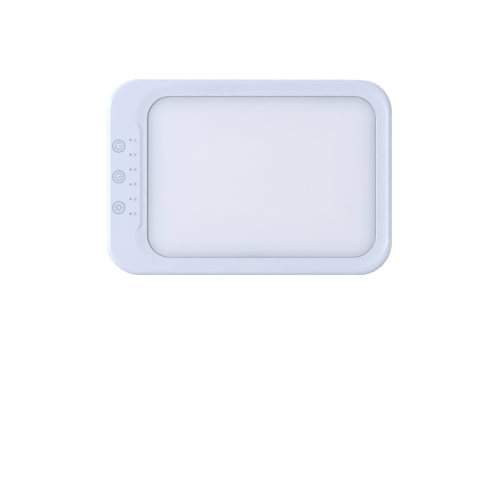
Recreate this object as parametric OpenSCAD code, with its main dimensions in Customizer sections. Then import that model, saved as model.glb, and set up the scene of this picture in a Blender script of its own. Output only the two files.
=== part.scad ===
// Slim light therapy panel on a fold-out kickstand, standing in portrait, in millimetres.
// Every piece is drawn on the upright panel: X across as seen from the front, Y towards the back from
// the flat back face, Z up from the bottom edge. The whole is then leaned back until it stands.

/* [Panel] */
// Height of the panel in portrait
panel_h = 235; // [225:1:255]
// Width of the panel
panel_w = 162; // [154:1:180]
// Radius of the four outline corners
corner_r = 27; // [25:0.5:30]
// Depth from the flat back to the parting line at the rim
back_depth = 12; // [11.5:0.25:13.5]
// Depth of the bezel from the parting line to its face
bezel_depth = 7; // [6.5:0.25:9]
// Radius of the large soft edge of the back
back_edge_r = 18; // [16:0.5:19]
// Radius of the front edge of the bezel
front_edge_r = 3.6; // [2.5:0.1:4.5]
// Height of the crown of the back above its flat border
crown = 1.2; // [0.8:0.1:1.6]
// Distance from the outline to the line of moulded stitches
stitch_inset = 17; // [16:0.5:19]
// Wall of both housing shells
wall = 2; // [1.6:0.1:2.2]

/* [Window] */
// Width of the bezel on each side of the lit window
side_border = 14.7; // [13.2:0.1:18]
// Height of the bezel above the window
top_border = 13.3; // [12:0.1:18]
// Corner radius of the window
window_r = 18.5; // [14:0.5:22]
// Height of the control strip below the window
strip_h = 33.5; // [32:0.5:36]
// How far the bezel face sinks towards the window
face_drop = 1.7; // [1.2:0.1:1.9]
// Width of the sinking border round the window
slope_w = 10.6; // [8:0.2:12]
// Radius of the window lip
lip_r = 0.8; // [0.4:0.1:1]
// Depth from the bezel face to the ledge that the light stack seats on
ledge_depth = 3.2; // [2.8:0.1:3.6]
// How far the ledge reaches past the diffuser's flange
ledge_over = 0.9; // [0.7:0.1:1.2]
// Gap between the raised face of the diffuser and the window
window_gap = 0.3; // [0.2:0.05:0.5]
// How far the diffuser lies below the window lip
diffuser_sink = 0.6; // [0.3:0.1:1.2]

/* [Control pad] */
// Distance from the crest of the pad to the window
pad_slope = 6.3; // [5:0.1:8]
// Straight length of the crest
pad_len = 76; // [60:1:84]
// Radius with which the crest turns back at its ends
pad_turn_r = 8.2; // [6:0.2:10]
// Height of the three touch keys above the bottom edge
key_z = 10; // [9:0.5:12]
// Spacing of the touch keys
key_pitch = 25.3; // [20:0.1:28]
// Height of the row of indicator pinholes
dot_z = 19.7; // [18:0.1:22]
// Spacing of the pinholes
dot_pitch = 12.15; // [10:0.05:13]
// Number of pinholes
dot_count = 6; // [4:1:6]
// Diameter of a pinhole
dot_d = 1.3; // [1.2:0.1:2]

/* [Stand] */
// Height of the hinge axis on the upright panel
hinge_z = 146.5; // [140:0.5:150]
// Depth of the hinge axis below the flat back
hinge_sink = 2.7; // [2.6:0.05:3]
// Angle of the open stand at its stop
open_angle = 24; // [20:0.5:26]
// Length of the arm from the hinge axis to its tip
arm_len = 139.3; // [130:0.1:142]
// Length of the heel behind the hinge axis
heel_len = 3.4; // [3.2:0.1:3.8]
// Width of the arm at the hinge end
arm_w = 33.8; // [30:0.2:36]
// Width of the arm at its tip
arm_tip_w = 28.4; // [24:0.2:30]
// Thickness of the arm at the hinge
arm_t = 5.2; // [5:0.1:5.6]
// Thickness of the arm at its tip
arm_tip_t = 1.5; // [1.2:0.1:2]
// Length of the curled end of the arm
curl_len = 38; // [30:1:42]
// How far the outer face of the tip curls out
curl_rise = 4.1; // [3:0.1:5]
// Corner radius of the tip
tip_corner_r = 1.5; // [1:0.25:3]
// Skin over the cored inner side of the arm
arm_skin = 1.6; // [1.4:0.1:2]
// Number of cores in the inner side of the arm
core_count = 5; // [3:1:6]
// Clearance under and round the folded arm
arm_gap = 0.3; // [0.2:0.05:0.5]
// Clearance on each side of the arm
side_gap = 0.7; // [0.5:0.1:1]
// Diameter of the hinge pin
pin_d = 2.5; // [2:0.1:2.6]
// Radial running clearance of the pin in its bushes
pin_fit = 0.04; // [0.02:0.01:0.08]

/* [Stand recess] */
// Width of the raised border round the recess
border_w = 5.3; // [4:0.1:6.5]
// Height of the raised border
border_h = 0.45; // [0.3:0.05:0.8]
// Height above the bottom edge where the mouth of the recess starts to flare
flare_z = 40; // [38:0.5:42]
// Radius of the flare along the outer edge of the border
flare_r = 24; // [20:0.5:26]
// Height above the bottom edge where the raised border ends
border_end = 17.5; // [16.5:0.25:20]
// Thickness of the floor and the walls of the recess
tub_wall = 1.5; // [1.4:0.1:1.6]

/* [Power socket] */
// Distance of the socket from the left edge, seen from the front
jack_in = 12.2; // [11:0.1:14]
// Height of the socket above the bottom edge
jack_z = 22.6; // [21.5:0.1:23]
// Depth of the middle of the socket below the flat back
jack_sink = 6; // [5.5:0.1:6.5]
// Tilt of the socket towards the back
jack_tilt = 34; // [30:0.5:38]
// Turn of the socket towards the bottom
jack_turn = 10; // [6:0.5:12]
// Diameter of the hole in the housing
jack_hole_d = 6; // [5.8:0.1:6.4]
// Bore of the socket
jack_bore_d = 5.6; // [5.5:0.1:5.8]
// Outer diameter of the socket
jack_body_d = 8; // [7.6:0.1:8.2]
// Length of the socket behind the wall
jack_body_l = 9.5; // [9:0.1:10]
// Depth of the socket's bore
jack_bore_l = 8; // [7:0.1:8.5]
// Diameter of the centre contact
jack_pin_d = 2; // [1.65:0.05:2.1]

/* [Light stack] */
// Thickness of the gasket on the ledge
gasket_t = 0.4; // [0.3:0.1:0.6]
// Thickness of the diffuser's flange
flange_t = 1.6; // [1.2:0.1:1.8]
// Distance from the outline of the panel to the diffuser's flange at the sides
flange_in = 10.1; // [9.9:0.1:10.6]
// Thickness of the diffusing film
film_t = 0.3; // [0.2:0.1:0.4]
// Thickness of the light guide
guide_t = 3; // [2.5:0.1:3]
// Thickness of the reflector sheet
reflector_t = 0.3; // [0.2:0.1:0.4]
// Thickness of the sheet metal tray
tray_t = 1; // [0.8:0.1:1]
// Distance from the outline of the panel to the light guide at the sides
guide_in = 12.5; // [12.3:0.1:13]
// How far the light guide reaches past the window at its ends
guide_over_h = 4; // [2:0.5:4]
// Corner radius of the light guide
guide_r = 12; // [11:0.5:14]
// Height of a light emitting diode above its strip
led_t = 1; // [0.8:0.1:1.1]
// Width of a diode
led_w = 2.8; // [2.2:0.1:3]
// Length of a diode
led_l = 3.5; // [3:0.1:4]
// Spacing of the diodes along a strip
led_pitch = 6; // [5:0.25:8]
// Thickness of a diode strip
strip_t = 0.9; // [0.8:0.1:1]
// Diameter of a screw boss
boss_d = 5; // [4.6:0.1:5.4]
// Diameter of the screws
screw_d = 2; // [1.8:0.1:2.2]
// Diameter of the screw heads
head_d = 3.6; // [3.2:0.1:3.8]
// Height of the screw heads
head_t = 0.9; // [0.7:0.1:1]
// Width of the hexagon socket in a screw head
drive_d = 1.6; // [1.4:0.1:1.8]

/* [Electronics] */
// Width of the control board
board_w = 94; // [88:1:96]
// Gap between the control board and the tray
board_top_gap = 2; // [1.5:0.1:4]
// Thickness of the control board
board_t = 1.2; // [1:0.1:1.6]
// Height of the lower edge of the board above the bottom edge
board_z = 5.5; // [5:0.25:6]
// Space between the bezel's inner face and the board
board_gap = 4.6; // [4:0.1:5]
// Diameter of the wires
wire_d = 1.2; // [1:0.1:1.4]
// Straight length of the wires behind the power socket
wire_lead = 3; // [2.5:0.1:3.5]
// Diameter of the sprung plates under the touch keys
spring_d = 8.4; // [7:0.1:9]
// Thickness of a sprung plate
spring_t = 0.4; // [0.3:0.05:0.5]
// Height of the bar of the light pipe
pipe_w = 3; // [2.6:0.1:3.4]
// Depth of the bar of the light pipe
pipe_t = 2.4; // [2:0.1:2.6]
// Clearance of a light pipe pin in its pinhole
pipe_fit = 0.08; // [0.05:0.01:0.1]

/* [Hidden] */

// Fineness of the curves: small, housing and very flat ones
$fn = 48;
fine = 144;
flat_fine = 256;
crown_steps = 10;
// How far cuts run clear of the faces that they open: barely, a little and well
eps = 0.01;
cut = 1;
over = 3;
// How far a boss or a rib is rooted in the wall that carries it
root = 0.5;
// How much a wire thickens at its bends, and a turn that keeps the poles of the bend off its bars
bend_over = 0.2;
bend_turn = [50, 30, 0];

// Depths of the panel, all below the flat back
face_y = -back_depth - bezel_depth;
inner_face_y = face_y + wall;
ledge_y = face_y + ledge_depth;
// Width of the soft edge of the back in plan
edge_in = sqrt(pow(back_edge_r, 2) - pow(back_edge_r - back_depth, 2));

// Tongue inside the rim of the bezel, and the snap beads on it that click into the rear shell
tongue_in = 3.1;
tongue_t = 0.9;
tongue_h = 1.7;
tongue_foot = 2.2;
tongue_gap = 0.3;
bead_r = 0.55;
bead_l = 16;
bead_fit = 0.1;
bead_out = 0.2;
bead_y = -back_depth + 0.9;
bead_pitch = 60;
bead_zs = [for (i = [-1:1]) panel_h / 2 + i * bead_pitch];
// Radius of the bezel's inner edge, and how far the foot of the pad sinks below the window lip
inner_edge_r = 0.8;
pad_sink = 0.12;

// Sinking border round the window: an arc that leaves the face smoothly and ends in the rounded lip
slope_r = (pow(slope_w, 2) + pow(face_drop, 2)) / (2 * face_drop);
lip_sin = (slope_w - lip_r) / (slope_r - lip_r);
lip_sink = slope_r - sqrt(pow(slope_r - lip_r, 2) - pow(slope_w - lip_r, 2));
lip_out = slope_w - slope_r * lip_sin;
lip_top = slope_r - sqrt(pow(slope_r, 2) - pow(slope_w - lip_out, 2));

// Lit window and the light stack behind it
window_w = panel_w - 2 * side_border;
window_h = panel_h - strip_h - top_border;
window_z = strip_h + window_h / 2;
flange_w = side_border - flange_in;
ledge_w = flange_w + ledge_over;
flange_y = ledge_y + gasket_t;
film_y = flange_y + flange_t;
guide_y = film_y + film_t;
reflector_y = guide_y + guide_t;
tray_y = reflector_y + reflector_t;
tray_back_y = tray_y + tray_t;
// Half widths across the light guide, its diodes, their strips and the folded edges of the tray
guide_x = panel_w / 2 - guide_in;
guide_over = guide_x - window_w / 2;
guide_h = window_h + 2 * guide_over_h;
led_gap = 0.3;
led_x = guide_x + led_gap;
strip_x = led_x + led_t;
fold_x = strip_x + strip_t;
tray_x = fold_x + tray_t;
tray_over = 1;
fold_in = 5;
tab_gap = 1;
gasket_in = 1;
tray_h = guide_h + 2 * tray_over;
strip_len = tray_h - 2 * (guide_r + tray_over);
led_count = floor((strip_len - 2 * led_l) / led_pitch) + 1;

// Screw bosses beside the tray: three on each side
boss_gap = 0.5;
boss_in = 18;
boss_x = tray_x + boss_gap + boss_d / 2;
boss_rows = [for (i = [-1:1]) window_z + i * (strip_len / 2 - boss_in)];
tab_w = boss_d + 2;
press_fit = 0.02;
screw_fit = 0.15;
tip_gap = 1;
pilot_d = screw_d * 0.9;
core_d = pilot_d - 2 * press_fit;
screw_l = 5;

// Control board and what it carries
board_front_y = inner_face_y + board_gap;
board_back_y = board_front_y + board_t;
board_h = strip_h - guide_over_h - tray_over - board_top_gap - board_z;
board_mid_z = board_z + board_h / 2;
board_screw_in = 4;
board_screw_up = 3.2;
board_screw_x = board_w / 2 - board_screw_in;
board_screw_zs = [board_z + board_screw_up, board_z + board_h - board_screw_up];
pad_crest = strip_h - pad_slope;
pipe_sink = 0.15;
pipe_foot = 1.5;
dot_led = [1.6, 0.7, 0.8];
key_xs = [-key_pitch, 0, key_pitch];
dot_xs = [for (i = [0:dot_count - 1]) (i - (dot_count - 1) / 2) * dot_pitch];

// Sockets of the wires on the back of the board: one near its middle and one near its left end
led_plug_x = 8;
jack_plug_x = -board_w / 2 + 13;
plug_w = 7;
plug_t = 4.4;
plug_h = 5;
plug_wall = 0.9;
plug_floor = 2;
plug_pitch = 3.2;
plug_y = board_back_y + plug_t / 2;
// Wires: how deep they reach into their sockets, how far they run straight out of them, and how far
// apart those of one pair lie
wire_in = 0.5;
wire_out = 5;
wire_gap = 0.1;
pair_pitch = 1.3 * wire_d;

// Other pieces on the back of the board: chip, and the coil and capacitor can near its right end
chip_x = -14;
chip_w = 7;
chip_t = 1;
coil_x = board_w / 2 - 23;
coil_d = 7;
coil_h = 3.2;
coil_rim = 0.7;
coil_neck = 0.8;
coil_bevel = 0.2;
can_x = board_w / 2 - 13;
can_d = 6.2;
can_h = 4.8;
can_base = 6.6;
can_base_t = 0.8;

// Arm, drawn folded: outer and inner faces and the arcs of its curled end
tip_z = hinge_z - arm_len;
arm_shift = 0.1;
arm_out_y = -hinge_sink + arm_t / 2 + arm_shift;
arm_in_y = arm_out_y - arm_t;
arm_taper = (arm_w - arm_tip_w) / 2 / (arm_len + heel_len);
curl_z = tip_z + curl_len;
curl_out_r = (pow(curl_len, 2) + pow(curl_rise, 2)) / (2 * curl_rise);
curl_in_rise = curl_rise + arm_t - arm_tip_t;
curl_in_r = (pow(curl_len, 2) + pow(curl_in_rise, 2)) / (2 * curl_in_rise);
arm_reach = 15;
core_low = 4;
core_top = 8;
core_rib = 1.4;
function arm_half(z) = arm_tip_w / 2 + (z - tip_z) * arm_taper;

// Recess for the stand: its floor follows the inner side of the folded arm
floor_y = arm_in_y - arm_gap;
floor_r = curl_in_r + arm_gap;
heel_gap = 0.4;
recess_end_z = hinge_z + heel_len + heel_gap;
stop_gap = 0.1;
stop_h = arm_t / 2 - arm_shift + stop_gap;
function recess_half(z) = arm_half(z) + side_gap;
flare_x = recess_half(flare_z) + border_w + flare_r;

// The lean at which the rear bottom edge and the inner edge of the open arm's tip touch the ground.
// Points are [height, depth] on the upright panel.
tip_in = [-arm_len, arm_in_y + curl_in_rise + hinge_sink];
tip_open = [
  hinge_z + tip_in[0] * cos(open_angle) + tip_in[1] * sin(open_angle),
  -hinge_sink - tip_in[0] * sin(open_angle) + tip_in[1] * cos(open_angle)
];
lean = atan2(tip_open[0], tip_open[1] + back_depth);
tip_cut = open_angle - lean;
lift = -back_depth * sin(lean);
front_y = (face_y + front_edge_r) * cos(lean) + front_edge_r * sin(lean) - front_edge_r;
top_y = -back_edge_r * cos(lean) + (panel_h - edge_in) * sin(lean) + back_edge_r;
tip_y = (tip_open[1] + arm_tip_t) * cos(lean) + tip_open[0] * sin(lean);
middle_y = (front_y + max(top_y, tip_y)) / 2;

// Hinge hardware, from the middle outwards
hinge_y = -hinge_sink;
tub_x = recess_half(hinge_z);
washer_gap = 0.1;
washer_t = side_gap - 2 * washer_gap;
bearing_l = 4.5;
bearing_h = 9;
bearing_wall = 1.4;
bearing_x = tub_x + bearing_l;
bush_wall = 0.8;
bush_flange_t = 0.8;
clip_gap = 0.2;
clip_t = 0.6;
clip_wall = 1;
clip_x = bearing_x + bush_flange_t + clip_gap;
pin_end = 0.5;
pin_half = clip_x + clip_t + pin_end;
bush_d = pin_d + 2 * bush_wall;
flange_d = bush_d + bush_wall;
clip_d = pin_d + 2 * clip_wall;
pocket_gap = 0.3;
pocket_d = flange_d + 2 * pocket_gap;

// Socket frame: its origin is the middle of the hole in the outer face of the facet
jack_mid = [-panel_w / 2 + jack_in, -jack_sink, jack_z];
jack_x_axis = [-sin(jack_turn), 0, cos(jack_turn)];
jack_y_axis = [sin(jack_tilt) * cos(jack_turn), cos(jack_tilt), sin(jack_tilt) * sin(jack_turn)];
jack_z_axis = [-cos(jack_tilt) * cos(jack_turn), sin(jack_tilt), -cos(jack_tilt) * sin(jack_turn)];
function jack_point(p) = jack_mid + p[0] * jack_x_axis + p[1] * jack_y_axis + p[2] * jack_z_axis;
jack_floor_t = jack_body_l - jack_bore_l;
jack_root_d = jack_pin_d + 0.6;
jack_root_h = 0.3;
contact_sink = 1;
contact_end = 0.8;
contact_end_d = jack_pin_d * 0.6;
contact_l = jack_bore_l - contact_sink - contact_end;
facet_t = 1.8;
notch_reach = corner_r + over;
notch_in = 20;
notch_out = 12;
step_in = 21.5;
step_out = -0.2;
ledge_t = 1;
jack_back = -facet_t - jack_body_l;
bracket_t = 1.2;
bracket_w = 6.4;
bracket_x = -7.5;
bracket_end = 2.6;
bracket_reach = 3.4;
wire_slot = [4.4, 2.8];
post_d = 4.6;

// Stands the upright panel on the rear bottom edge and the tip of the open arm
module standing() {
  translate([0, -middle_y, lift]) rotate([-lean, 0, 0]) children();
}

// Turns what is drawn folded into the open position of the stand
module opened() {
  standing() translate([0, hinge_y, hinge_z]) rotate([open_angle, 0, 0])
    translate([0, -hinge_y, -hinge_z]) children();
}

// Places what is drawn along Z, pointing out of the socket, at the socket
module at_jack() {
  translate(jack_mid) rotate([0, -jack_turn, 0]) rotate([0, 0, -jack_tilt])
    rotate([0, -90, 0]) children();
}

// Sweeps a section round a rounded rectangle that stands on Z = 0. The section's x runs outwards from
// the corner centres and its y is the depth.
module swept_ring(w, h, r) {
  for (side = [0, 1]) mirror([side, 0, 0]) {
    translate([w / 2 - r, 0, r]) linear_extrude(h - 2 * r) children();
    translate([w / 2 - r, 0, r]) rotate([-90, 0, 0]) rotate_extrude(angle = 90, $fn = fine) children();
    translate([w / 2 - r, 0, h - r]) rotate([-90, -90, 0])
      rotate_extrude(angle = 90, $fn = fine) children();
  }
  translate([-w / 2 + r, 0, r]) rotate([0, 90, 0]) linear_extrude(w - 2 * r) children();
  translate([w / 2 - r, 0, h - r]) rotate([0, -90, 0]) linear_extrude(w - 2 * r) children();
}

// Rectangle with rounded corners, centred
module rounded_rect(w, h, r) {
  square([w - 2 * r, h], center = true);
  square([w, h - 2 * r], center = true);
  for (x = [-1, 1], y = [-1, 1]) translate([x * (w / 2 - r), y * (h / 2 - r)]) circle(r, $fn = fine);
}

// Plate parallel to the face, from depth y0 to y1
module face_plate(y0, y1, z) {
  translate([0, y1, z]) rotate([90, 0, 0]) linear_extrude(y1 - y0) children();
}

// Plate with the outline of the window, grown by grow
module window_plate(y0, y1, grow) {
  face_plate(y0, y1, window_z) rounded_rect(window_w + 2 * grow, window_h + 2 * grow, window_r + grow);
}

// Screw along Y with its head towards the back, seated at depth y
module board_screw(x, y, z, len) {
  translate([x, y, z]) rotate([90, 0, 0]) cylinder(d = core_d, h = len);
  translate([x, y + head_t, z]) rotate([90, 0, 0]) difference() {
    cylinder(d = head_d, h = head_t);
    translate([0, 0, -eps]) cylinder(d = drive_d, h = head_t / 2, $fn = 6);
  }
}

// Round bar between two points
module bar(a, b, d) {
  run = b - a;
  turn = acos(run[2] / norm(run));
  translate(a) rotate([0, turn, atan2(run[1], run[0])]) cylinder(d = d, h = norm(run));
}

// Wire along a list of points, slightly thicker at its bends
module wire(points) {
  for (i = [1:len(points) - 1]) bar(points[i - 1], points[i], wire_d);
  for (i = [1:len(points) - 2]) translate(points[i]) rotate(bend_turn)
    sphere(d = wire_d + bend_over);
}

// Section of the rear shell shrunk by t: a flat back that rolls over a large radius to the rim
module back_section(t, y0) {
  intersection() {
    translate([0, y0]) square([corner_r - t, -t - y0]);
    union() {
      translate([0, y0]) square([corner_r - edge_in, -t - y0]);
      translate([corner_r - edge_in, -back_edge_r]) circle(back_edge_r - t, $fn = fine);
    }
  }
}

// Solid of the rear shell's outside shrunk by t, down to depth y0
module back_body(t, y0) {
  swept_ring(panel_w, panel_h, corner_r) back_section(t, y0);
  core_w = panel_w - 2 * corner_r;
  core_h = panel_h - 2 * corner_r;
  translate([-core_w / 2, y0, corner_r]) cube([core_w, -t - y0, core_h]);
}

// Section of the crown over a half span: a shallow parabola, raised by rise
module crown_section(half, rise) {
  top = [for (i = [-crown_steps:crown_steps]) [half * i / crown_steps,
    rise + crown * (1 - pow(i / crown_steps, 2))]];
  polygon(concat([[-half, -root]], top, [[half, -root]]));
}

// Shallow crown of the back, raised by rise: it curves across the width and along the height
module crown_body(rise) {
  half_w = panel_w / 2 - stitch_inset;
  half_h = panel_h / 2 - stitch_inset;
  translate([0, 0, stitch_inset]) intersection() {
    linear_extrude(2 * half_h) crown_section(half_w, rise);
    translate([half_w, 0, half_h]) rotate([0, -90, 0])
      linear_extrude(2 * half_w) crown_section(half_h, rise);
  }
}

// Plan of the stand recess, grown by grow: tapered sides, square hinge end and a flared mouth
module recess_plan(grow) {
  difference() {
    polygon([
      [-flare_x, 0], [flare_x, 0], [flare_x, flare_z], [recess_half(flare_z) + grow, flare_z],
      [recess_half(recess_end_z) + grow, recess_end_z + grow],
      [-recess_half(recess_end_z) - grow, recess_end_z + grow],
      [-recess_half(flare_z) - grow, flare_z], [-flare_x, flare_z]
    ]);
    for (x = [-flare_x, flare_x]) translate([x, flare_z]) circle(flare_r + border_w - grow, $fn = fine);
  }
}

// Side view of the space over the recess floor, lowered by drop: a stop slope under the heel of the
// arm, a flat floor, then an arc that rises to the mouth
module recess_side(drop, end) {
  stop_z = hinge_z - (floor_y - hinge_y + stop_h / cos(open_angle)) / tan(open_angle);
  deep_y = floor_y - (end - stop_z) * tan(open_angle);
  top = crown + over;
  polygon([
    [top, curl_z], [top, end], [deep_y - drop, end], [floor_y - drop, stop_z], [floor_y - drop, curl_z]
  ]);
  intersection() {
    translate([floor_y - drop, -over]) square([top - floor_y + drop, curl_z + over]);
    translate([floor_y + floor_r, curl_z]) circle(floor_r + drop, $fn = flat_fine);
  }
}

// Space of the stand recess, with its walls and floor grown by grow
module recess_space(grow) {
  intersection() {
    translate([0, crown + over, 0]) rotate([90, 0, 0]) linear_extrude(back_depth + crown + over)
      recess_plan(grow);
    translate([-flare_x - cut, 0, 0]) rotate([90, 0, 90]) linear_extrude(2 * (flare_x + cut))
      recess_side(grow, recess_end_z + grow);
  }
}

// Space outside the socket's facet, grown inwards by grow: the facet ends at a slanted step
module notch_space(grow) {
  floor_top = -back_depth + ledge_t - grow * ledge_t / facet_t;
  difference() {
    at_jack() translate([0, 0, -grow]) linear_extrude(notch_reach) polygon([
      [-notch_reach, -notch_in], [step_in + grow, -notch_in],
      [step_out + grow, notch_out], [-notch_reach, notch_out]
    ]);
    translate([-panel_w, floor_top - panel_w, -over]) cube([2 * panel_w, panel_w, panel_w]);
  }
}

// Bearing block of the hinge, on the inner side of the back beside the recess
module hinge_bearing() {
  translate([tub_x, hinge_y - bush_d / 2 - bearing_wall, hinge_z - bearing_h / 2])
    cube([bearing_l, bush_d / 2 + bearing_wall + hinge_sink, bearing_h]);
}

// Rear shell: crowned back with its large soft edge, the stand recess with its raised border, the facet
// of the power socket and the bearings of the hinge
module rear_shell() {
  color("#c3cbdc") standing() difference() {
    union() {
      difference() {
        union() {
          back_body(0, -back_depth);
          crown_body(0);
          recess_border();
        }
        difference() {
          back_body(wall, -back_depth - over);
          recess_space(tub_wall);
          notch_space(facet_t);
        }
      }
      for (side = [0, 1]) mirror([side, 0, 0]) hinge_bearing();
      at_jack() translate([bracket_x, 0, jack_back]) cylinder(d = post_d, h = -jack_back - facet_t / 2);
    }
    recess_space(0);
    notch_space(0);
    snap_beads(bead_fit);
    for (side = [0, 1]) mirror([side, 0, 0]) translate([0, hinge_y, hinge_z]) rotate([0, 90, 0]) {
      translate([0, 0, tub_x - cut]) cylinder(d = bush_d + 2 * press_fit, h = bearing_l + 2 * cut);
      translate([0, 0, bearing_x]) cylinder(d = pocket_d, h = pin_half - bearing_x + 2 * pocket_gap);
    }
    at_jack() translate([0, 0, -facet_t - cut]) cylinder(d = jack_hole_d, h = facet_t + 2 * cut);
    at_jack() translate([bracket_x, 0, jack_back - cut])
      cylinder(d = pilot_d, h = screw_l + cut + root);
  }
}

// Raised border round the recess, which follows the crown and ends where the soft edge starts
module recess_border() {
  intersection() {
    crown_body(border_h);
    translate([0, crown + over, 0]) rotate([90, 0, 0]) linear_extrude(crown + over + root)
      difference() {
        recess_plan(border_w);
        translate([-panel_w / 2, -cut]) square([panel_w, border_end + cut]);
      }
  }
}

// Section of the front shell shrunk by t, from its face to depth y1, with the rounded front edge
module front_section(t, y1) {
  r = max(front_edge_r - t, inner_edge_r);
  x1 = corner_r - t;
  y0 = face_y + t;
  translate([0, y0 + r]) square([x1, y1 - y0 - r]);
  translate([0, y0]) square([x1 - r, r]);
  translate([x1 - r, y0 + r]) circle(r);
}

// Solid of the front shell's outside shrunk by t, up to depth y1
module front_body(t, y1) {
  swept_ring(panel_w, panel_h, corner_r) front_section(t, y1);
  core_w = panel_w - 2 * corner_r;
  core_h = panel_h - 2 * corner_r;
  translate([-core_w / 2, face_y + t, corner_r]) cube([core_w, y1 - face_y - t, core_h]);
}

// Section of the window opening with its sinking border, from the window's corner centres outwards
module window_section() {
  translate([0, face_y - over]) square([window_r, over + ledge_depth + cut]);
  difference() {
    translate([window_r - cut, face_y - over]) square([slope_w + cut, over + face_drop]);
    translate([window_r + slope_w, face_y + slope_r]) circle(slope_r, $fn = flat_fine);
  }
  difference() {
    translate([window_r - cut, face_y - over]) square([lip_out + cut, over + lip_sink]);
    translate([window_r + lip_r, face_y + lip_sink]) circle(lip_r);
  }
}

// Space of the window and the sinking border round it
module window_space() {
  translate([0, 0, strip_h]) swept_ring(window_w, window_h, window_r) window_section();
  core_w = window_w - 2 * window_r;
  core_h = window_h - 2 * window_r;
  translate([-core_w / 2, face_y - over, strip_h + window_r])
    cube([core_w, over + ledge_depth + cut, core_h]);
}

// Control pad: it stays level up to its crest, then slopes to the lip, and its ends turn back
module pad_body() {
  crest = pad_turn_r;
  foot = pad_turn_r + strip_h - pad_crest - lip_out;
  for (side = [0, 1]) mirror([side, 0, 0]) translate([pad_len / 2, 0, pad_crest - pad_turn_r])
    rotate([-90, -90, 0]) rotate_extrude(angle = 90, $fn = fine) pad_section(crest, foot);
  translate([pad_len / 2, 0, pad_crest - pad_turn_r]) rotate([0, -90, 0]) linear_extrude(pad_len)
    pad_section(crest, foot);
}

// Section of the pad from its turning axis outwards
module pad_section(crest, foot) {
  foot_y = face_y + lip_top + pad_sink;
  polygon([[0, face_y], [crest, face_y], [foot, foot_y], [foot, inner_face_y], [0, inner_face_y]]);
}

// Rim rib inside the bezel, with the tongue that locates the rear shell
module rim_tongue() {
  outer = corner_r - tongue_in;
  inner = outer - tongue_t;
  foot_y = -back_depth - tongue_foot;
  top_y = -back_depth + tongue_h;
  swept_ring(panel_w, panel_h, corner_r) polygon([
    [corner_r - wall / 2, foot_y], [corner_r - wall / 2, -back_depth], [outer, -back_depth],
    [outer, top_y], [inner, top_y], [inner, foot_y]
  ]);
}

// Snap beads on the straight runs of the tongue, grown by grow: three on each side and two at the top
module snap_beads(grow) {
  for (side = [0, 1]) mirror([side, 0, 0]) {
    for (z = bead_zs) translate([panel_w / 2 - tongue_in + bead_out, bead_y, z - bead_l / 2 - grow])
      cylinder(r = bead_r + grow, h = bead_l + 2 * grow);
    translate([bead_pitch / 2 - bead_l / 2 - grow, bead_y, panel_h - tongue_in + bead_out])
      rotate([0, 90, 0]) cylinder(r = bead_r + grow, h = bead_l + 2 * grow);
  }
}

// Front bezel: rounded frame that sinks to the window, with the control pad, its pinholes, the ledge
// for the light stack and the screw bosses
module front_bezel() {
  color("#dfe4ef") standing() difference() {
    union() {
      difference() {
        front_body(0, -back_depth);
        difference() {
          front_body(wall, -back_depth + over);
          window_plate(inner_face_y - root, ledge_y, ledge_w);
        }
      }
      difference() {
        rim_tongue();
        notch_space(facet_t + tongue_gap);
      }
      snap_beads(0);
      for (x = [-boss_x, boss_x], z = boss_rows) boss(x, z, tray_y);
      for (x = [-board_screw_x, board_screw_x], z = board_screw_zs) boss(x, z, board_front_y);
    }
    difference() {
      window_space();
      pad_body();
    }
    for (x = dot_xs) translate([x, face_y - cut, dot_z]) rotate([-90, 0, 0])
      cylinder(d = dot_d, h = wall + 2 * cut);
    for (x = [-boss_x, boss_x], z = boss_rows) pilot_hole(x, z, tray_y);
    for (x = [-board_screw_x, board_screw_x], z = board_screw_zs) pilot_hole(x, z, board_front_y);
  }
}

// Screw boss on the inner face of the bezel, up to depth y
module boss(x, z, y) {
  translate([x, inner_face_y - root, z]) rotate([-90, 0, 0])
    cylinder(d = boss_d, h = y - inner_face_y + root);
}

// Hole for a screw in the boss that ends at depth y
module pilot_hole(x, z, y) {
  translate([x, y - screw_l, z]) rotate([-90, 0, 0]) cylinder(d = pilot_d, h = screw_l + cut);
}

// Foam gasket between the ledge and the diffuser
module diffuser_gasket() {
  color("#f4f4f2") standing() difference() {
    window_plate(ledge_y, flange_y, flange_w);
    window_plate(ledge_y - cut, flange_y + cut, gasket_in);
  }
}

// Opal diffuser: a flange on the ledge and a raised face that fills the window with a thin gap
module diffuser() {
  color("#eef0f8") standing() union() {
    window_plate(flange_y, film_y, flange_w);
    window_plate(face_y + face_drop + diffuser_sink, flange_y, -window_gap);
  }
}

// Diffusing film behind the diffuser
module diffuser_film() {
  color("#f6f6f6") standing() window_plate(film_y, guide_y, guide_over);
}

// Clear light guide plate that spreads the light of the two diode strips
module light_guide() {
  color("#e6f2f6") standing() face_plate(guide_y, reflector_y, window_z)
    rounded_rect(2 * guide_x, guide_h, guide_r);
}

// White reflector sheet behind the light guide
module reflector_sheet() {
  color("#ffffff") standing() face_plate(reflector_y, tray_y, window_z)
    rounded_rect(2 * guide_x, guide_h, guide_r);
}

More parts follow.
